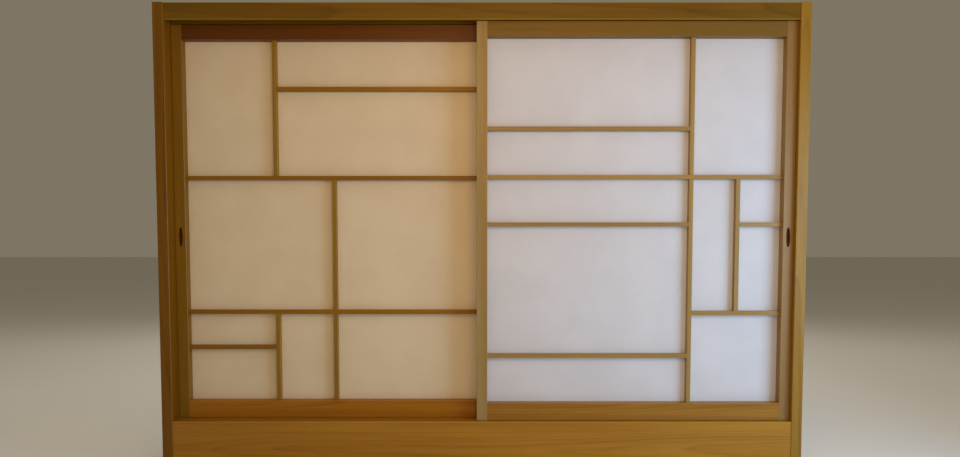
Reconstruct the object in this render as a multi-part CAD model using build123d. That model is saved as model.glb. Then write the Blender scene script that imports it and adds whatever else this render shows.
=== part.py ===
from build123d import *
import os

# A pair of sliding shoji panels in one wooden frame. All sizes are in millimetres.
# X runs along the width, the front faces -Y, Z is up.
# The origin is the middle of the frame's footprint, at its lowest point.

# The opening, between the jambs and between the sill's top and the head's underside
opening_width = 1700
opening_height = 1087

# Frame members
frame_depth = 110
jamb_face = 29
head_height = 45
board_height = 120
board_thickness = 17.5
board_tongue_length = 6     # at each end of the board, let into the jambs
board_tongue_thickness = 9
face_step = 2               # jambs stand this far proud of head and board
sill_thickness = 40
frame_arris = 1.2           # small bevel along the frame's long edges

# Tracks: grooves in the sill below and in the head above
track_width = 21
track_wall = 12             # wood left between the two tracks
head_groove_depth = 15
sill_groove_depth = 3
strip_thickness = 1         # hardwood running strip in each sill track
strip_side_gap = 0.4

# Screws through the jambs into the ends of head and sill
screw_radius = 2.25
screw_length = 75
screw_head_radius = 4.5
screw_head_height = 2.6
screw_slot_width = 1.1
screw_slot_length = 5.5
screw_slot_depth = 1.4
screw_clearance = 0.1
head_screw_inset = 24       # from the frame's front and back faces
sill_screw_inset = 18       # from the sill's front and back faces

# Fixing holes in the jambs, behind the panels, for screws into a wall post
fixing_radius = 3
fixing_inset = 16           # from the frame's back face
fixing_spacing = 860

# Panels
panel_thickness = 30
stile_face = 29
top_rail_face = 40
bottom_rail_face = 48
shoulder_gap = 1            # between a panel's shoulders and the frame
side_gap = 0.3              # between a closed panel and its jamb
running_gap = 0.3           # between a panel and its running strip
tongue_thickness = 19.5     # the part of a panel that runs in the grooves
head_engagement = 8         # how far it reaches up into the head
panel_arris = 0.8
rail_tenon_length = 20
rail_tenon_thickness = 10
rail_tenon_setback = 9      # from the panel's front face
rail_tenon_shoulder = 8     # from the rail's top and bottom
glue_gap = 0.1

# Oval finger recess in each outer stile
pull_width = 12
pull_height = 54
pull_depth = 10
pull_rise = 507             # above the sill's top

# Lattice bars, in front of the paper
bar_width = 11.5
bar_depth = 16.5
bar_setback = 10            # from the panel's front face
bar_arris = 0.6
bar_tenon_width = 7
bar_tenon_thickness = 5
bar_tenon_length = 10       # into stiles and rails
bar_stub_length = 4         # into other bars

# Centre lines of uprights, from the panel's outer edge
side_upright = 278
rear_long_upright = 439.5
front_short_upright = 150

# Centre lines of crossbars: down from the top rail
rear_upper_drop = 131
front_upper_drop = 244
main_drop = 375
front_middle_drop = 504

# Centre lines of crossbars: up from the bottom rail
lower_rise = 249
rear_low_rise = 149.5
front_low_rise = 130.5

# Paper, glued to the back of the bars and into a rebate all round
paper_thickness = 0.4
paper_lap = 5
rebate_width = 6

# Places that follow from the sizes
front_y = -frame_depth / 2
back_y = frame_depth / 2
sill_top = board_height
head_bottom = sill_top + opening_height
frame_height = head_bottom + head_height
groove_floor = sill_top - sill_groove_depth
half_opening = opening_width / 2
half_frame = half_opening + jamb_face

step_y = front_y + face_step
front_track_y = step_y + board_thickness
rear_track_y = front_track_y + track_width + track_wall

panel_width = (opening_width + stile_face) / 2 - side_gap
panel_bottom = sill_top + shoulder_gap
panel_top = head_bottom - shoulder_gap
tongue_bottom = groove_floor + strip_thickness + running_gap
tongue_top = head_bottom + head_engagement
tongue_setback = (panel_thickness - tongue_thickness) / 2
inner_bottom = panel_bottom + bottom_rail_face
inner_top = panel_top - top_rail_face
inner_stile_edge = panel_width - stile_face
paper_setback = bar_setback + bar_depth

UP = "up"
ACROSS = "across"
ON_END = (Align.CENTER, Align.CENTER, Align.MIN)

# Each bar: name, way, centre line, and the two pieces that its ends are let into.
# Uprights start at the lower piece, crossbars at the one nearer the panel's outer edge.
REAR_BARS = [
    ("upright_upper", UP, side_upright, "crossbar_main", "top_rail"),
    ("upright_long", UP, rear_long_upright, "bottom_rail", "crossbar_main"),
    ("upright_lower", UP, side_upright, "bottom_rail", "crossbar_lower"),
    ("crossbar_upper", ACROSS, inner_top - rear_upper_drop, "upright_upper", "inner_stile"),
    ("crossbar_main", ACROSS, inner_top - main_drop, "outer_stile", "inner_stile"),
    ("crossbar_lower", ACROSS, inner_bottom + lower_rise, "outer_stile", "inner_stile"),
    ("crossbar_low", ACROSS, inner_bottom + rear_low_rise, "outer_stile", "upright_lower"),
]
FRONT_BARS = [
    ("upright_long", UP, side_upright, "bottom_rail", "top_rail"),
    ("upright_short", UP, front_short_upright, "crossbar_lower", "crossbar_main"),
    ("crossbar_upper", ACROSS, inner_top - front_upper_drop, "upright_long", "inner_stile"),
    ("crossbar_main", ACROSS, inner_top - main_drop, "outer_stile", "inner_stile"),
    ("crossbar_middle", ACROSS, inner_top - front_middle_drop, "upright_long", "inner_stile"),
    ("crossbar_stub", ACROSS, inner_top - front_middle_drop, "outer_stile", "upright_short"),
    ("crossbar_lower", ACROSS, inner_bottom + lower_rise, "outer_stile", "upright_long"),
    ("crossbar_low", ACROSS, inner_bottom + front_low_rise, "upright_long", "inner_stile"),
]

# Bars that cross, halved into each other: the upright behind, the crossbar in front
REAR_LAPS = [("upright_long", "crossbar_lower")]
FRONT_LAPS = [("upright_long", "crossbar_main")]


def block(x0, x1, y0, y1, z0, z1):
    place = Pos((x0 + x1) / 2, (y0 + y1) / 2, (z0 + z1) / 2)
    return place * Box(x1 - x0, y1 - y0, z1 - z0)


def bevelled(solid, axis, size):
    return chamfer(solid.edges().filter_by(axis), size)


def front_bevelled(solid, axis, size):
    edges = solid.edges().filter_by(axis).group_by(Axis.Y)[0]
    return chamfer(edges, size)


# Frame

def screw_places():
    # The y and z of each screw that goes through a jamb
    head_z = (head_bottom + head_groove_depth + frame_height) / 2
    sill_z = (sill_top - sill_thickness + groove_floor) / 2
    places = []
    for y in (step_y + head_screw_inset, back_y - head_screw_inset):
        places.append((y, head_z))
    for y in (front_track_y + sill_screw_inset, back_y - sill_screw_inset):
        places.append((y, sill_z))
    return places


def screw_body(gap):
    # A countersunk screw along +X, its head's face in the plane x = 0
    head = Cone(screw_head_radius + gap, screw_radius + gap, screw_head_height, align=ON_END)
    shank = Cylinder(screw_radius + gap, screw_length + gap, align=ON_END)
    return Rotation(0, 90, 0) * (head + shank)


def facing_in(side):
    # Turns a screw along +X so that it points into the frame from either jamb
    return Rotation(0, 0, 0) if side < 0 else Rotation(0, 0, 180)


def slotted_screw():
    half_slot = screw_slot_length / 2
    half_width = screw_slot_width / 2
    upright_slot = block(0, screw_slot_depth, -half_width, half_width, -half_slot, half_slot)
    level_slot = block(0, screw_slot_depth, -half_slot, half_slot, -half_width, half_width)
    return screw_body(0) - upright_slot - level_slot


def screw_set(side):
    # The four screws of one jamb; side is -1 for the left, 1 for the right
    screw = facing_in(side) * slotted_screw()
    return Compound(children=[Pos(side * half_frame, y, z) * screw for y, z in screw_places()])


def screw_holes(side):
    hole = facing_in(side) * screw_body(screw_clearance)
    return [Pos(side * half_frame, y, z) * hole for y, z in screw_places()]


def fixing_holes(side):
    # One low and one high in the jamb
    hole = Rotation(0, 90 * side, 0) * Cylinder(fixing_radius, jamb_face, align=ON_END)
    holes = []
    for rise in (-fixing_spacing / 2, fixing_spacing / 2):
        holes.append(Pos(side * half_opening, back_y - fixing_inset, frame_height / 2 + rise) * hole)
    return holes


def board_tongue(side, gap):
    # What the board's end lets into the jamb, along the board's back
    x0, x1 = sorted((side * half_opening, side * (half_opening + board_tongue_length + gap)))
    y0 = front_track_y - board_tongue_thickness - gap
    return block(x0, x1, y0, front_track_y + gap, 0, board_height + gap)


def jamb(side):
    x0, x1 = sorted((side * half_opening, side * half_frame))
    post = block(x0, x1, front_y, back_y, 0, frame_height)
    post = bevelled(post, Axis.Z, frame_arris)
    for hole in screw_holes(side) + fixing_holes(side):
        post -= hole
    return post - board_tongue(side, glue_gap)


def between_jambs(y0, y1, z0, z1):
    return block(-half_opening, half_opening, y0, y1, z0, z1)


def drilled(beam):
    for side in (-1, 1):
        for hole in screw_holes(side):
            beam -= hole
    return beam


def head():
    beam = between_jambs(step_y, back_y, head_bottom, frame_height)
    beam = bevelled(beam, Axis.X, frame_arris)
    for y in (front_track_y, rear_track_y):
        beam -= between_jambs(y, y + track_width, head_bottom, head_bottom + head_groove_depth)
    return drilled(beam)


def sill():
    # The front track is open at the front, where the board closes it
    beam = between_jambs(front_track_y, back_y, sill_top - sill_thickness, sill_top)
    for y in (front_track_y, rear_track_y):
        beam -= between_jambs(y, y + track_width, groove_floor, sill_top)
    return drilled(beam)


def front_board():
    board = between_jambs(step_y, front_track_y, 0, board_height)
    board = front_bevelled(board, Axis.X, frame_arris)
    return board + board_tongue(-1, 0) + board_tongue(1, 0)


def running_strip(track_y):
    y0 = track_y + strip_side_gap
    y1 = track_y + track_width - strip_side_gap
    return between_jambs(y0, y1, groove_floor, groove_floor + strip_thickness)


# Panels, built with the outer edge at x = 0 and the front face at y = 0

def tongue(x0, x1, z0, z1):
    return block(x0, x1, tongue_setback, tongue_setback + tongue_thickness, z0, z1)


def stile(x0):
    x1 = x0 + stile_face
    body = block(x0, x1, 0, panel_thickness, panel_bottom, panel_top)
    body = bevelled(body, Axis.Z, panel_arris)
    return body + tongue(x0, x1, tongue_bottom, tongue_top)


def rail(body_z0, body_z1, tongue_z0, tongue_z1):
    body = block(stile_face, inner_stile_edge, 0, panel_thickness, body_z0, body_z1)
    body = bevelled(body, Axis.X, panel_arris)
    body += tongue(stile_face, inner_stile_edge, tongue_z0, tongue_z1)
    for tenon in rail_tenons(body_z0, body_z1, 0):
        body += tenon
    return body


def rail_tenons(body_z0, body_z1, gap):
    y0 = rail_tenon_setback - gap
    y1 = rail_tenon_setback + rail_tenon_thickness + gap
    z0 = body_z0 + rail_tenon_shoulder - gap
    z1 = body_z1 - rail_tenon_shoulder + gap
    outer_tip = stile_face - rail_tenon_length - gap
    inner_tip = inner_stile_edge + rail_tenon_length + gap
    return [
        block(outer_tip, stile_face, y0, y1, z0, z1),
        block(inner_stile_edge, inner_tip, y0, y1, z0, z1),
    ]


def rebate():
    # What is cut from the back of stiles and rails, all round, for the paper's edge
    return block(
        stile_face - rebate_width, inner_stile_edge + rebate_width,
        paper_setback, panel_thickness,
        inner_bottom - rebate_width, inner_top + rebate_width,
    )


def paper():
    return block(
        stile_face - paper_lap, inner_stile_edge + paper_lap,
        paper_setback, paper_setback + paper_thickness,
        inner_bottom - paper_lap, inner_top + paper_lap,
    )


def finger_recess():
    centre = Pos(stile_face / 2, 0, sill_top + pull_rise)
    outline = Plane.XZ * Ellipse(pull_width / 2, pull_height / 2)
    return centre * extrude(outline, -pull_depth)


def along_bar(way, start, end, side0, side1, y0, y1):
    if way == UP:
        return block(side0, side1, y0, y1, start, end)
    return block(start, end, y0, y1, side0, side1)


def bar_faces(bars):
    # The lower and upper limit of every piece that a bar's end can meet
    faces = {
        "outer_stile": (0, stile_face),
        "inner_stile": (inner_stile_edge, panel_width),
        "bottom_rail": (panel_bottom, inner_bottom),
        "top_rail": (inner_top, panel_top),
    }
    for name, way, centre, start_piece, end_piece in bars:
        faces[name] = (centre - bar_width / 2, centre + bar_width / 2)
    return faces


def tenon_reach(piece, bars):
    bar_names = [bar[0] for bar in bars]
    return bar_stub_length if piece in bar_names else bar_tenon_length


def bar_tenon(way, centre, start, end, gap):
    half = bar_tenon_width / 2 + gap
    middle_y = bar_setback + bar_depth / 2
    y0 = middle_y - bar_tenon_thickness / 2 - gap
    y1 = middle_y + bar_tenon_thickness / 2 + gap
    return along_bar(way, start, end, centre - half, centre + half, y0, y1)


def add_bars(pieces, bars):
    # Puts each bar between its two pieces and cuts their mortises
    faces = bar_faces(bars)
    for name, way, centre, start_piece, end_piece in bars:
        start = faces[start_piece][1]
        end = faces[end_piece][0]
        side0, side1 = faces[name]
        body = along_bar(way, start, end, side0, side1, bar_setback, paper_setback)
        pieces[name] = front_bevelled(body, Axis.Z if way == UP else Axis.X, bar_arris)
    for name, way, centre, start_piece, end_piece in bars:
        start = faces[start_piece][1]
        end = faces[end_piece][0]
        start_tip = start - tenon_reach(start_piece, bars)
        end_tip = end + tenon_reach(end_piece, bars)
        pieces[name] += bar_tenon(way, centre, start_tip, start, 0)
        pieces[name] += bar_tenon(way, centre, end, end_tip, 0)
        pieces[start_piece] -= bar_tenon(way, centre, start_tip - glue_gap, start, glue_gap)
        pieces[end_piece] -= bar_tenon(way, centre, end, end_tip + glue_gap, glue_gap)


def halve(pieces, bars, laps):
    faces = bar_faces(bars)
    middle_y = bar_setback + bar_depth / 2
    for upright, crossbar in laps:
        x0, x1 = faces[upright]
        z0, z1 = faces[crossbar]
        gap = glue_gap
        pieces[upright] -= block(x0 - gap, x1 + gap, bar_setback, middle_y + gap, z0 - gap, z1 + gap)
        pieces[crossbar] -= block(x0 - gap, x1 + gap, middle_y, paper_setback, z0 - gap, z1 + gap)


def panel(bars, laps):
    pieces = {
        "outer_stile": stile(0) - finger_recess(),
        "inner_stile": stile(inner_stile_edge),
        "top_rail": rail(inner_top, panel_top, panel_top, tongue_top),
        "bottom_rail": rail(panel_bottom, inner_bottom, tongue_bottom, panel_bottom),
    }
    mortises = rail_tenons(inner_top, panel_top, glue_gap)
    mortises += rail_tenons(panel_bottom, inner_bottom, glue_gap)
    for name in ("outer_stile", "inner_stile"):
        for mortise in mortises:
            pieces[name] -= mortise
    for name in pieces:
        pieces[name] -= rebate()
    add_bars(pieces, bars)
    halve(pieces, bars, laps)
    pieces["paper"] = paper()
    return pieces


def rear_panel():
    # Behind, closed against the left jamb
    place = Pos(side_gap - half_opening, rear_track_y + track_width / 2 - panel_thickness / 2, 0)
    pieces = panel(REAR_BARS, REAR_LAPS)
    return {"rear_" + name: place * piece for name, piece in pieces.items()}


def front_panel():
    # In front, closed against the right jamb, so turned over to have its outer edge there
    place = Pos(half_opening - side_gap, front_track_y + track_width / 2 - panel_thickness / 2, 0)
    pieces = panel(FRONT_BARS, FRONT_LAPS)
    return {"front_" + name: place * mirror(piece, Plane.YZ) for name, piece in pieces.items()}


def frame():
    return {
        "jamb_left": jamb(-1),
        "jamb_right": jamb(1),
        "head": head(),
        "sill": sill(),
        "front_board": front_board(),
        "running_strip_front": running_strip(front_track_y),
        "running_strip_rear": running_strip(rear_track_y),
        "screws_left": screw_set(-1),
        "screws_right": screw_set(1),
    }


os.makedirs("parts", exist_ok=True)
for pieces in (frame(), rear_panel(), front_panel()):
    for name, shape in pieces.items():
        export_step(shape, "parts/" + name + ".step")
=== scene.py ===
import itertools
import math

import bpy
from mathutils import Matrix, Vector


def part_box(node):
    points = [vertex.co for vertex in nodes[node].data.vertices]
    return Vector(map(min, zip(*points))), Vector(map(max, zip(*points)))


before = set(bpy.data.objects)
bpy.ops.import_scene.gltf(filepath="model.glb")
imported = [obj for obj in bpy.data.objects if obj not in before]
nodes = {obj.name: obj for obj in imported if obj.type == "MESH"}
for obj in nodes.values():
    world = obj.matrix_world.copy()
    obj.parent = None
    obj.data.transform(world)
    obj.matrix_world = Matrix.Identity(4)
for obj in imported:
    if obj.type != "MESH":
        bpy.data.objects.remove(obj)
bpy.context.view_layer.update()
print("shoji loaded:", len(nodes), "nodes")


# Small helpers for building materials

softRange = (0.3, 0.7)      # the part of a noise's range that is used, for soft changes
crispRange = (0.35, 0.65)   # and for quicker ones
middleLevel = 0.5           # a noise's middle value


def colour(red, green, blue):
    return (red, green, blue, 1.0)


def grey(level):
    return colour(level, level, level)


def feed(tree, socket, value):
    # value is another node's output, or a plain value
    if isinstance(value, bpy.types.NodeSocket):
        tree.links.new(value, socket)
    else:
        socket.default_value = value


def addNode(tree, kind, inputs=None, **settings):
    node = tree.nodes.new(kind)
    for name, value in settings.items():
        setattr(node, name, value)
    for name, value in (inputs or {}).items():
        feed(tree, node.inputs[name], value)
    return node


def calc(tree, operation, *values):
    inputs = dict(enumerate(values))
    return addNode(tree, "ShaderNodeMath", inputs, operation=operation).outputs[0]


def calcVector(tree, operation, *values):
    inputs = dict(enumerate(values))
    node = addNode(tree, "ShaderNodeVectorMath", inputs, operation=operation)
    return node.outputs["Value" if operation in ("LENGTH", "DOT_PRODUCT") else "Vector"]


def noise(tree, vector, scale, detail=2.0, roughness=0.5, distortion=0.0):
    # scale is a number, or three for grain that is longer one way
    if not isinstance(scale, (int, float)):
        vector = calcVector(tree, "MULTIPLY", vector, scale)
        scale = 1.0
    inputs = {"Vector": vector, "Scale": scale, "Detail": detail,
              "Roughness": roughness, "Distortion": distortion}
    return addNode(tree, "ShaderNodeTexNoise", inputs)


def remap(tree, value, low, high, newLow=0.0, newHigh=1.0, smooth=True):
    inputs = {"Value": value, "From Min": low, "From Max": high,
              "To Min": newLow, "To Max": newHigh}
    kind = "SMOOTHSTEP" if smooth else "LINEAR"
    return addNode(tree, "ShaderNodeMapRange", inputs, interpolation_type=kind).outputs["Result"]


def swing(tree, value):
    # a noise as a swing of a half either way
    return remap(tree, value, *softRange, -0.5, 0.5)


def blendColour(tree, factor, first, second):
    node = addNode(tree, "ShaderNodeMix", data_type="RGBA")
    for number, value in ((0, factor), (6, first), (7, second)):
        feed(tree, node.inputs[number], value)
    return node.outputs[2]      # 6, 7 and 2 are a mix node's sockets for colour


def bumpFrom(tree, height, strength, depth):
    inputs = {"Height": height, "Strength": strength, "Distance": depth}
    return addNode(tree, "ShaderNodeBump", inputs).outputs["Normal"]


def objectPlace(tree):
    return addNode(tree, "ShaderNodeTexCoord").outputs["Object"]


def placeFrom(tree, centre):
    # a point's place from the middle of its piece
    return calcVector(tree, "SUBTRACT", objectPlace(tree), tuple(centre))


def partsOf(tree, vector):
    return addNode(tree, "ShaderNodeSeparateXYZ", {"Vector": vector}).outputs


def newMaterial(name):
    material = bpy.data.materials.new(name)
    material.use_nodes = True
    tree = material.node_tree
    tree.nodes.clear()
    output = addNode(tree, "ShaderNodeOutputMaterial")
    shader = addNode(tree, "ShaderNodeBsdfPrincipled")
    tree.links.new(shader.outputs["BSDF"], output.inputs["Surface"])
    return material, tree, shader


def setFinish(tree, shader, **finish):
    sockets = {"shade": "Base Color", "gloss": "Roughness", "normal": "Normal",
               "shine": "Specular IOR Level", "metallic": "Metallic"}
    for name, value in finish.items():
        feed(tree, shader.inputs[sockets[name]], value)


def middleOf(nodeName):
    low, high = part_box(nodeName)
    return (low + high) / 2


def dress(nodeName, material):
    piece = nodes[nodeName]
    piece.data.materials.clear()
    piece.data.materials.append(material)


# Planed softwood: growth rings round a pith that lies beside the piece, long fibres,
# paler arrises and darker end grain. The position that goes in is along, across, deep,
# and so are the three numbers of a scale.

grain = {
    "wanders": (((0.9, 5.0, 5.0), 1.0, 0.03),           # scale, detail and reach of the
                ((7.0, 60.0, 60.0), 2.0, 0.002)),       # rings' slow wander and quick tremble
    "paleWood": 0.06,
    "ringStops": ((0.45, 0.12), (0.8, 0.6), (0.93, 1.0)),   # place in a ring, and how dark
    "faintestRing": 0.45,
    "streakScale": (1.6, 55.0, 55.0),
    "fibreScale": (22.0, 850.0, 850.0),
    "fibreTone": 0.16,
    "patchScale": (1.2, 4.0, 4.0),
    "patchTone": 0.3,
    "baseTone": 0.15,
    "sawnFacing": (0.85, 0.95),         # how squarely a sawn end faces along the piece
    "sawnTone": 0.45,
    "sawnRoughness": 0.2,
    "arrisFacing": (0.95, 0.8),         # how squarely a flat face and an arris face one way
    "arrisPatches": (0.25, 0.6, 0.35, 1.0),
    "gloss": (0.36, 0.5),
    "ringGloss": -0.08,
    "ringHeight": 0.5,
    "fibreHeight": 0.6,
    "bump": 0.35,
    "bumpDepth": 0.0003,
    "seedStep": (3.71, 1.37, 2.11),
    "pithTurn": 2.4,
}


def makeWoodGroup(values):
    tree = bpy.data.node_groups.new("planedSoftwood", "ShaderNodeTree")
    for name, kind in (("Position", "Vector"), ("Seed", "Vector"), ("Pith", "Vector"),
                       ("Along", "Vector"), ("Lean", "Float"), ("Ring Spacing", "Float"),
                       ("Ring Depth", "Float"), ("Streaks", "Float"), ("Wear And Sheen", "Float"),
                       ("Early Wood", "Color"), ("Late Wood", "Color"), ("Worn And Sheen Wood", "Color")):
        tree.interface.new_socket(name, in_out="INPUT", socket_type="NodeSocket" + kind)
    for name, kind in (("Colour", "Color"), ("Roughness", "Float"), ("Height", "Float")):
        tree.interface.new_socket(name, in_out="OUTPUT", socket_type="NodeSocket" + kind)
    given = addNode(tree, "NodeGroupInput").outputs
    result = addNode(tree, "NodeGroupOutput")
    seeded = calcVector(tree, "ADD", given["Position"], given["Seed"])

    # Where a point lies from the pith, once the rings have wandered
    moved = given["Position"]
    for scale, detail, reach in values["wanders"]:
        way = noise(tree, seeded, scale, detail).outputs["Color"]
        way = calcVector(tree, "SUBTRACT", way, (middleLevel, middleLevel, middleLevel))
        way = addNode(tree, "ShaderNodeVectorMath", {0: way, "Scale": reach}, operation="SCALE")
        moved = calcVector(tree, "ADD", moved, way.outputs["Vector"])
    fromPith = partsOf(tree, calcVector(tree, "SUBTRACT", moved, given["Pith"]))
    deep = calc(tree, "MULTIPLY_ADD", fromPith["X"], given["Lean"], fromPith["Z"])
    flat = addNode(tree, "ShaderNodeCombineXYZ", {"X": fromPith["Y"], "Y": deep}).outputs[0]
    count = calc(tree, "DIVIDE", calcVector(tree, "LENGTH", flat), given["Ring Spacing"])

    # One ring: pale spring wood that slowly darkens to a thin summer line
    ramp = addNode(tree, "ShaderNodeValToRGB", {"Fac": calc(tree, "FRACT", count)})
    stops = ramp.color_ramp.elements
    for stop in stops:
        stop.color = grey(values["paleWood"])
    for position, level in values["ringStops"]:
        stops.new(position).color = grey(level)
    strength = addNode(tree, "ShaderNodeTexWhiteNoise", {"W": calc(tree, "FLOOR", count)},
                       noise_dimensions="1D").outputs["Value"]
    strength = remap(tree, strength, 0, 1, values["faintestRing"], 1.0, smooth=False)
    ring = calc(tree, "MULTIPLY", ramp.outputs["Color"], strength)

    streak = noise(tree, seeded, values["streakScale"], detail=4.0, roughness=0.6).outputs["Fac"]
    fibre = noise(tree, seeded, values["fibreScale"]).outputs["Fac"]
    patch = noise(tree, seeded, values["patchScale"], detail=1.0).outputs["Fac"]
    tone = calc(tree, "MULTIPLY", ring, given["Ring Depth"])
    for mark, amount in ((streak, given["Streaks"]), (fibre, values["fibreTone"]),
                         (patch, values["patchTone"])):
        tone = calc(tree, "MULTIPLY_ADD", swing(tree, mark), amount, tone)
    tone = calc(tree, "ADD", tone, values["baseTone"])
    tone = addNode(tree, "ShaderNodeClamp", {"Value": tone}).outputs[0]
    shade = blendColour(tree, tone, given["Early Wood"], given["Late Wood"])

    # Arrises are rubbed pale, and on the head this paler arris is also a painted highlight; sawn
    # ends drink the light
    normal = addNode(tree, "ShaderNodeTexCoord").outputs["Normal"]
    facing = calc(tree, "ABSOLUTE", calcVector(tree, "DOT_PRODUCT", normal, given["Along"]))
    sawn = remap(tree, facing, *values["sawnFacing"])
    sides = partsOf(tree, calcVector(tree, "ABSOLUTE", normal))
    square = calc(tree, "MAXIMUM", calc(tree, "MAXIMUM", sides["X"], sides["Y"]), sides["Z"])
    rubbedAndSheen = calc(tree, "MULTIPLY", remap(tree, square, *values["arrisFacing"]),
                  remap(tree, streak, *values["arrisPatches"]))
    rubbedAndSheen = calc(tree, "MULTIPLY", rubbedAndSheen, given["Wear And Sheen"])
    shade = blendColour(tree, rubbedAndSheen, shade, given["Worn And Sheen Wood"])
    drunk = calc(tree, "MULTIPLY", sawn, values["sawnTone"])
    shade = blendColour(tree, drunk, shade, given["Late Wood"])

    gloss = remap(tree, fibre, *softRange, *values["gloss"])
    gloss = calc(tree, "MULTIPLY_ADD", ring, values["ringGloss"], gloss)
    gloss = calc(tree, "MULTIPLY_ADD", sawn, values["sawnRoughness"], gloss)
    height = calc(tree, "MULTIPLY", fibre, values["fibreHeight"])
    height = calc(tree, "MULTIPLY_ADD", ring, values["ringHeight"], height)
    for name, value in (("Colour", shade), ("Roughness", gloss), ("Height", height)):
        tree.links.new(value, result.inputs[name])
    return tree


woodGroup = makeWoodGroup(grain)
seeds = itertools.count(1)      # one for each board, so that no two have the same figure

# The finger pulls get painted shade inside, darkest on their floor
pulls = {
    # colour of the painted shade inside the pulls
    "paintedShade": colour(0.1, 0.038, 0.007),
    "gloss": grey(0.42),
    "halfThickness": 0.015,     # of the stile
    "fromMiddle": -0.0365,      # height of the pull from the middle of the stile
    "halfHeight": 0.032,
    "halfWidth": 0.007,
    "darkFrom": 0.004,
    "darkTo": 0.0095,
    "bottom": 0.012,
}


def paintedPullShade(tree, parts, shade, gloss):
    depth = calc(tree, "ADD", parts["Y"], pulls["halfThickness"])
    # painted shade: the deeper a point lies in the recess, the darker it is
    inside = remap(tree, depth, pulls["darkFrom"], pulls["darkTo"])
    above = calc(tree, "ABSOLUTE", calc(tree, "SUBTRACT", parts["Z"], pulls["fromMiddle"]))
    aside = calc(tree, "ABSOLUTE", parts["X"])
    for distance, reach in ((above, "halfHeight"), (aside, "halfWidth"), (depth, "bottom")):
        inside = calc(tree, "MULTIPLY", inside, calc(tree, "LESS_THAN", distance, pulls[reach]))
    shade = blendColour(tree, inside, shade, pulls["paintedShade"])
    return shade, blendColour(tree, inside, gloss, pulls["gloss"])


def woodMaterial(name, values, centre, upright):
    # centre is the middle of the piece, and upright says which way its grain runs
    seed = next(seeds)
    material, tree, shader = newMaterial(name)
    parts = partsOf(tree, placeFrom(tree, centre))
    order = ("Z", "X", "Y") if upright else ("X", "Z", "Y")     # along, across, deep
    turned = {axis: parts[way] for axis, way in zip("XYZ", order)}
    turned = addNode(tree, "ShaderNodeCombineXYZ", turned).outputs["Vector"]
    across, deep, spread = values["pith"]
    turn = seed * grain["pithTurn"]
    wood = addNode(tree, "ShaderNodeGroup", node_tree=woodGroup)
    settings = {
        "Position": turned,
        "Seed": tuple(seed * step for step in grain["seedStep"]),
        "Pith": (0.0, across + spread * math.sin(turn), deep + spread * math.cos(turn)),
        "Along": (0.0, 0.0, 1.0) if upright else (1.0, 0.0, 0.0),
        "Lean": values["lean"] * (1 if seed % 2 else -1),
        "Ring Spacing": values["ringSpacing"],
        "Ring Depth": values["ringDepth"],
        "Streaks": values["streaks"],
        "Wear And Sheen": values["wearAndSheen"],
        "Early Wood": values["earlyWood"],
        "Late Wood": values["lateWood"],
        "Worn And Sheen Wood": values["wornAndSheenWood"],
    }
    for socket, value in settings.items():
        feed(tree, wood.inputs[socket], value)
    normal = bumpFrom(tree, wood.outputs["Height"], grain["bump"], grain["bumpDepth"])
    shade, gloss = wood.outputs["Colour"], wood.outputs["Roughness"]
    # painted shade inside the finger pulls of the outer stiles
    if name.endswith("outer_stile_wood"):
        shade, gloss = paintedPullShade(tree, parts, shade, gloss)
    setFinish(tree, shader, shade=shade, gloss=gloss, normal=normal, shine=values["shine"])
    return material


# Each board's shade is its own tone together with painted light. The rear top rail is darkened
# as the head's painted shadow.
# The head, left jamb and front top rail are darkened as painted shade.
# The right jamb and the front panel's stiles and bars are paled and blued as painted sheen of
# the cool side light.
# The numbers say how much red, green and blue of the timber's own colour each board keeps
boardToneAndPaintedLight = {
    "head": (0.44, 0.47, 0.04),
    "jamb_left": (0.55, 0.5, 0.04),
    "jamb_right": (0.79, 0.88, 0.58),
    "front_board": (0.98, 0.98, 0.65),
    "rear_top_rail": (0.36, 0.24, 0.05),
    "rear_bottom_rail": (0.96, 0.81, 0.04),
    "rear_outer_stile": (0.63, 0.68, 0.3),
    "front_top_rail": (0.49, 0.57, 0.64),
    "front_bottom_rail": (0.84, 0.85, 0.7),
    "front_inner_stile": (0.91, 1.34, 4.24),
    "front_outer_stile": (0.74, 0.91, 2.33),
    "rear_uprights": (0.77, 0.89, 0.62),
    "rear_crossbars": (0.68, 0.67, 0.15),
    "front_uprights": (0.87, 1.2, 3.0),
    "front_crossbars": (0.83, 1.1, 2.7),
}
plainShade = (1.0, 1.0, 1.0)


def shaded(values, amounts):
    changed = dict(values)
    for name in ("earlyWood", "lateWood", "wornAndSheenWood"):
        changed[name] = colour(*(part * amount for part, amount in zip(values[name], amounts)))
    return changed


def dressInWood(nodeNames, values, upright, shadeName=None):
    for nodeName in nodeNames:
        own = shaded(values, boardToneAndPaintedLight.get(shadeName or nodeName, plainShade))
        dress(nodeName, woodMaterial(nodeName + "_wood", own, middleOf(nodeName), upright))


# Frame

jambs = {
    "earlyWood": colour(0.43, 0.208, 0.024),
    "lateWood": colour(0.25, 0.1, 0.007),
    "wornAndSheenWood": colour(0.54, 0.32, 0.08),
    "ringSpacing": 0.0042,
    "ringDepth": 0.6,
    "streaks": 0.35,
    "pith": (0.02, 0.16, 0.03),     # across, deep, and how much that differs
    "lean": 0.006,
    "wearAndSheen": 0.55,
    "shine": 0.3,
}
dressInWood(("jamb_left", "jamb_right"), jambs, True)

# the head's lower arris is made far paler: wear together with a painted highlight
headBoard = dict(jambs, ringSpacing=0.005, ringDepth=0.55, lean=0.01, pith=(0.0, 0.11, 0.02),
                 wearAndSheen=1.0, wornAndSheenWood=colour(1.0, 0.75, 1.0))
dressInWood(("head",), headBoard, False)

sillBoard = dict(jambs, ringSpacing=0.0045, ringDepth=0.5, pith=(-0.12, 0.05, 0.02))
dressInWood(("sill",), sillBoard, False)

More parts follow.
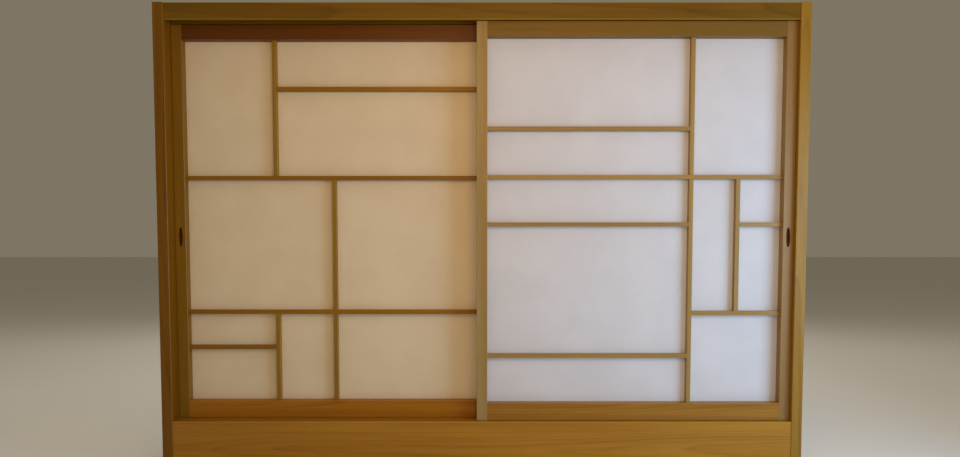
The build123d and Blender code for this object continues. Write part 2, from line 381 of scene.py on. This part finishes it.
wideBoard = dict(jambs, ringSpacing=0.0046, ringDepth=0.45, lean=0.013,
                 pith=(-0.02, 0.06, 0.004), streaks=0.4)
dressInWood(("front_board",), wideBoard, False)
print("frame dressed")


# Panels

stiles = dict(jambs, ringSpacing=0.0032, ringDepth=0.5, lean=0.004, pith=(0.12, 0.05, 0.03))
rails = dict(stiles, ringDepth=0.6, lean=0.006, pith=(0.045, 0.06, 0.02))
bars = dict(stiles, ringSpacing=0.0021, ringDepth=0.45, lean=0.003,
            pith=(0.05, 0.06, 0.02), wearAndSheen=0.4)
for side in ("front_", "rear_"):
    own = [name for name in nodes if name.startswith(side) and name != "front_board"]
    dressInWood([name for name in own if name.endswith("stile")], stiles, True)
    dressInWood([name for name in own if name.endswith("rail")], rails, False)
    dressInWood([name for name in own if "upright" in name], bars, True, side + "uprights")
    dressInWood([name for name in own if "crossbar" in name], bars, False, side + "crossbars")
print("panels dressed")


# Running strips: dense hardwood, polished along the middle by the panels

strips = {
    "wood": colour(0.16, 0.075, 0.035),
    "polished": colour(0.25, 0.13, 0.06),
    "grainScale": (3.0, 420.0, 420.0),
    "rubScale": (1.5, 160.0, 160.0),
    "halfTrack": 0.0101,
    "fullPolish": 0.2,          # share of the half track that is polished all over
    "polish": 0.6,
    "gloss": (0.45, 0.22),      # bare and polished
    "bump": 0.2,
    "bumpDepth": 0.0002,
    "shine": 0.5,
}


def stripMaterial(name, values, centre):
    material, tree, shader = newMaterial(name)
    place = placeFrom(tree, centre)
    figure = noise(tree, place, values["grainScale"], detail=3.0).outputs["Fac"]
    rub = noise(tree, place, values["rubScale"]).outputs["Fac"]
    aside = calc(tree, "ABSOLUTE", partsOf(tree, place)["Y"])
    middle = remap(tree, aside, values["halfTrack"], values["fullPolish"] * values["halfTrack"])
    polish = calc(tree, "MULTIPLY", middle, remap(tree, rub, *crispRange))
    tone = remap(tree, figure, *crispRange)
    shade = blendColour(tree, tone, values["wood"], values["polished"])
    paler = calc(tree, "MULTIPLY", polish, values["polish"])
    shade = blendColour(tree, paler, shade, values["polished"])
    setFinish(tree, shader, shade=shade,
              gloss=remap(tree, polish, 0, 1, *values["gloss"], smooth=False),
              normal=bumpFrom(tree, figure, values["bump"], values["bumpDepth"]),
              shine=values["shine"])
    return material


for stripName in ("running_strip_front", "running_strip_rear"):
    dress(stripName, stripMaterial(stripName + "_wood", strips, middleOf(stripName)))


# Screws: zinc plated steel with a turned face

screws = {
    "metal": colour(0.58, 0.58, 0.56),
    "dull": colour(0.36, 0.36, 0.35),
    "turningScale": (30.0, 2600.0, 2600.0),
    "cloudScale": 260.0,
    "gloss": (0.28, 0.5),
    "bump": 0.25,
    "bumpDepth": 0.0001,
}


def screwMaterial(values):
    material, tree, shader = newMaterial("zincScrew")
    place = objectPlace(tree)
    turned = noise(tree, place, values["turningScale"]).outputs["Fac"]
    cloud = noise(tree, place, values["cloudScale"], detail=3.0).outputs["Fac"]
    tone = remap(tree, cloud, *crispRange)
    setFinish(tree, shader, shade=blendColour(tree, tone, values["metal"], values["dull"]),
              gloss=remap(tree, turned, *softRange, *values["gloss"]),
              normal=bumpFrom(tree, turned, values["bump"], values["bumpDepth"]),
              metallic=1.0)
    return material


zincScrew = screwMaterial(screws)
dress("screws_left", zincScrew)
dress("screws_right", zincScrew)
print("strips and screws dressed")


# Paper: long fibres in a cloudy sheet that lets some light through

washi = {
    # the front sheet's faint blue tint is painted cool light
    "sheet": colour(0.815, 0.835, 0.875),
    "cloud": colour(0.785, 0.803, 0.84),
    "fibre": colour(0.89, 0.905, 0.935),
    "cloudScale": 9.0,
    "fleckScale": 140.0,
    "fleckRange": (0.5, 0.75),
    "fleckTone": 0.25,
    "fibreScales": ((60.0, 60.0, 170.0), (190.0, 60.0, 70.0)),     # lying and standing fibres
    "fibreWidth": 0.008,
    "fibreTone": 0.7,
    "fibreHeight": 0.5,
    "tuftScale": 26.0,
    "tuftRange": (0.42, 0.62),
    "lightThrough": 0.35,
    "gloss": (0.77, 0.91),
    "bump": 0.3,
    "bumpDepth": 0.0002,
    "shine": 0.2,
}


def fibreLines(tree, place, scale, width):
    # Thin wandering lines where a stretched noise passes its middle value
    wavy = noise(tree, place, scale, detail=1.0, roughness=0.4, distortion=0.8).outputs["Fac"]
    away = calc(tree, "ABSOLUTE", calc(tree, "SUBTRACT", wavy, middleLevel))
    return remap(tree, away, width, 0.0)


def paperMaterial(name, values, seed):
    material, tree, shader = newMaterial(name)
    place = calcVector(tree, "ADD", objectPlace(tree), seed)
    cloudy = noise(tree, place, values["cloudScale"], detail=3.0, roughness=0.55).outputs["Fac"]
    fleck = noise(tree, place, values["fleckScale"]).outputs["Fac"]
    lines = calc(tree, "MAXIMUM", *(fibreLines(tree, place, scale, values["fibreWidth"])
                                    for scale in values["fibreScales"]))
    tufts = noise(tree, place, values["tuftScale"]).outputs["Fac"]
    lines = calc(tree, "MULTIPLY", lines, remap(tree, tufts, *values["tuftRange"]))
    shade = blendColour(tree, remap(tree, cloudy, *softRange), values["sheet"], values["cloud"])
    flecks = remap(tree, fleck, *values["fleckRange"], 0.0, values["fleckTone"])
    shade = blendColour(tree, flecks, shade, values["fibre"])
    fibres = calc(tree, "MULTIPLY", lines, values["fibreTone"])
    shade = blendColour(tree, fibres, shade, values["fibre"])
    height = calc(tree, "MULTIPLY_ADD", lines, values["fibreHeight"], fleck)
    normal = bumpFrom(tree, height, values["bump"], values["bumpDepth"])
    setFinish(tree, shader, shade=shade, gloss=remap(tree, fleck, *softRange, *values["gloss"]),
              normal=normal, shine=values["shine"])

    output = shader.outputs["BSDF"].links[0].to_node
    through = addNode(tree, "ShaderNodeBsdfTranslucent", {"Color": shade, "Normal": normal})
    both = addNode(tree, "ShaderNodeMixShader", {"Fac": values["lightThrough"]})
    tree.links.new(shader.outputs["BSDF"], both.inputs[1])
    tree.links.new(through.outputs["BSDF"], both.inputs[2])
    tree.links.new(both.outputs["Shader"], output.inputs["Surface"])
    return material


# the rear panel's sheet is tinted yellower: painted warm light
paintedWarmWashi = dict(washi, sheet=colour(0.87, 0.79, 0.62), cloud=colour(0.84, 0.755, 0.58),
                     fibre=colour(0.93, 0.87, 0.715))
dress("front_paper", paperMaterial("front_washi", washi, (1.3, 0.0, 0.7)))
dress("rear_paper", paperMaterial("rear_washi", paintedWarmWashi, (5.1, 0.0, 3.9)))
print("paper dressed")


# Floor

floorValues = {
    "size": 40.0,
    "below": 0.0005,
    "pale": colour(0.7, 0.69, 0.66),
    "paler": colour(0.76, 0.75, 0.72),
    "cloudScale": 0.8,
    "gloss": (0.6, 0.75),
}


def makeFloor(values):
    half = values["size"] / 2
    mesh = bpy.data.meshes.new("floor")
    corners = [(-half, -half, 0), (half, -half, 0), (half, half, 0), (-half, half, 0)]
    mesh.from_pydata(corners, [], [(0, 1, 2, 3)])
    floor = bpy.data.objects.new("floor", mesh)
    bpy.context.scene.collection.objects.link(floor)
    material, tree, shader = newMaterial("paleFloor")
    soft = noise(tree, objectPlace(tree), values["cloudScale"], detail=3.0).outputs["Fac"]
    setFinish(tree, shader, shade=blendColour(tree, soft, values["pale"], values["paler"]),
              gloss=remap(tree, soft, *softRange, *values["gloss"]))
    mesh.materials.append(material)
    floor.location.z = -values["below"]


makeFloor(floorValues)


# Light: a soft cool light at the right, two soft warm ones in front, and even light
# from above, from behind, from both sides and all round

warmWhite = (1.0, 0.94, 0.84)
lights = {
    "coolSide": {"at": (1.65, -0.95, 0.66), "towards": (0.3, 0.0, 0.55), "size": (0.9, 0.8),
                 "colour": (0.48, 0.71, 1.0), "watts": 9.9, "spread": 120},
    "warmHigh": {"at": (0.15, -1.25, 1.2), "towards": (0.15, 0.0, 1.0), "size": (0.9, 0.3),
                 "colour": (1.0, 0.53, 0.18), "watts": 5.7, "spread": 180},
    "warmLow": {"at": (0.5, -1.9, 0.85), "towards": (0.1, 0.0, 0.4), "size": (1.8, 0.8),
                "colour": (1.0, 0.57, 0.26), "watts": 3.1, "spread": 180},
    "above": {"at": (0.0, -0.3, 3.6), "towards": (0.0, 0.0, 0.0), "size": (5.0, 5.0),
              "colour": warmWhite, "watts": 31.0, "spread": 180},
    "behind": {"at": (0.0, 2.6, 2.1), "towards": (0.0, 0.0, 0.6), "size": (3.4, 1.8),
               "colour": warmWhite, "watts": 29.0, "spread": 180},
    "leftFill": {"at": (-4.5, 0.3, 3.2), "towards": (-0.88, 0.0, 0.6), "size": (3.0, 3.0),
                 "colour": warmWhite, "watts": 9.0, "spread": 180},
    "rightFill": {"at": (4.5, 0.3, 3.2), "towards": (0.88, 0.0, 0.6), "size": (3.0, 3.0),
                  "colour": warmWhite, "watts": 9.0, "spread": 180},
}
surroundValues = {"colour": colour(0.21, 0.18, 0.13), "strength": 1.0}


def addLight(name, values):
    data = bpy.data.lights.new(name, "AREA")
    data.shape = "RECTANGLE"
    data.size, data.size_y = values["size"]
    data.color = values["colour"]
    data.energy = values["watts"]
    data.spread = math.radians(values["spread"])
    lamp = bpy.data.objects.new(name, data)
    bpy.context.scene.collection.objects.link(lamp)
    lamp.location = values["at"]
    way = Vector(values["towards"]) - Vector(values["at"])
    lamp.rotation_euler = way.to_track_quat("-Z", "Y").to_euler()
    lamp.visible_camera = False


def addSurround(values):
    surround = bpy.data.worlds.new("softSurround")
    surround.use_nodes = True
    backdrop = surround.node_tree.nodes["Background"]
    backdrop.inputs["Color"].default_value = values["colour"]
    backdrop.inputs["Strength"].default_value = values["strength"]
    bpy.context.scene.world = surround


for lightName, lightValues in lights.items():
    addLight(lightName, lightValues)
addSurround(surroundValues)
bpy.context.scene.view_settings.view_transform = "Standard"


# Camera, where the photograph was taken from

cameraValues = {
    "at": (-0.0076, -2.0573, 0.6306),
    "tiltDown": 3.264,
    "lens": 27.7,
    "sensor": 36.0,
    "shift": (0.0008, 0.0516),
}


def addCamera(values):
    data = bpy.data.cameras.new("camera")
    data.sensor_width = values["sensor"]
    data.lens = values["lens"]
    data.shift_x, data.shift_y = values["shift"]
    camera = bpy.data.objects.new("camera", data)
    bpy.context.scene.collection.objects.link(camera)
    camera.location = values["at"]
    camera.rotation_euler = (math.radians(90 - values["tiltDown"]), 0.0, 0.0)
    bpy.context.scene.camera = camera


addCamera(cameraValues)
print("floor, light and camera set")
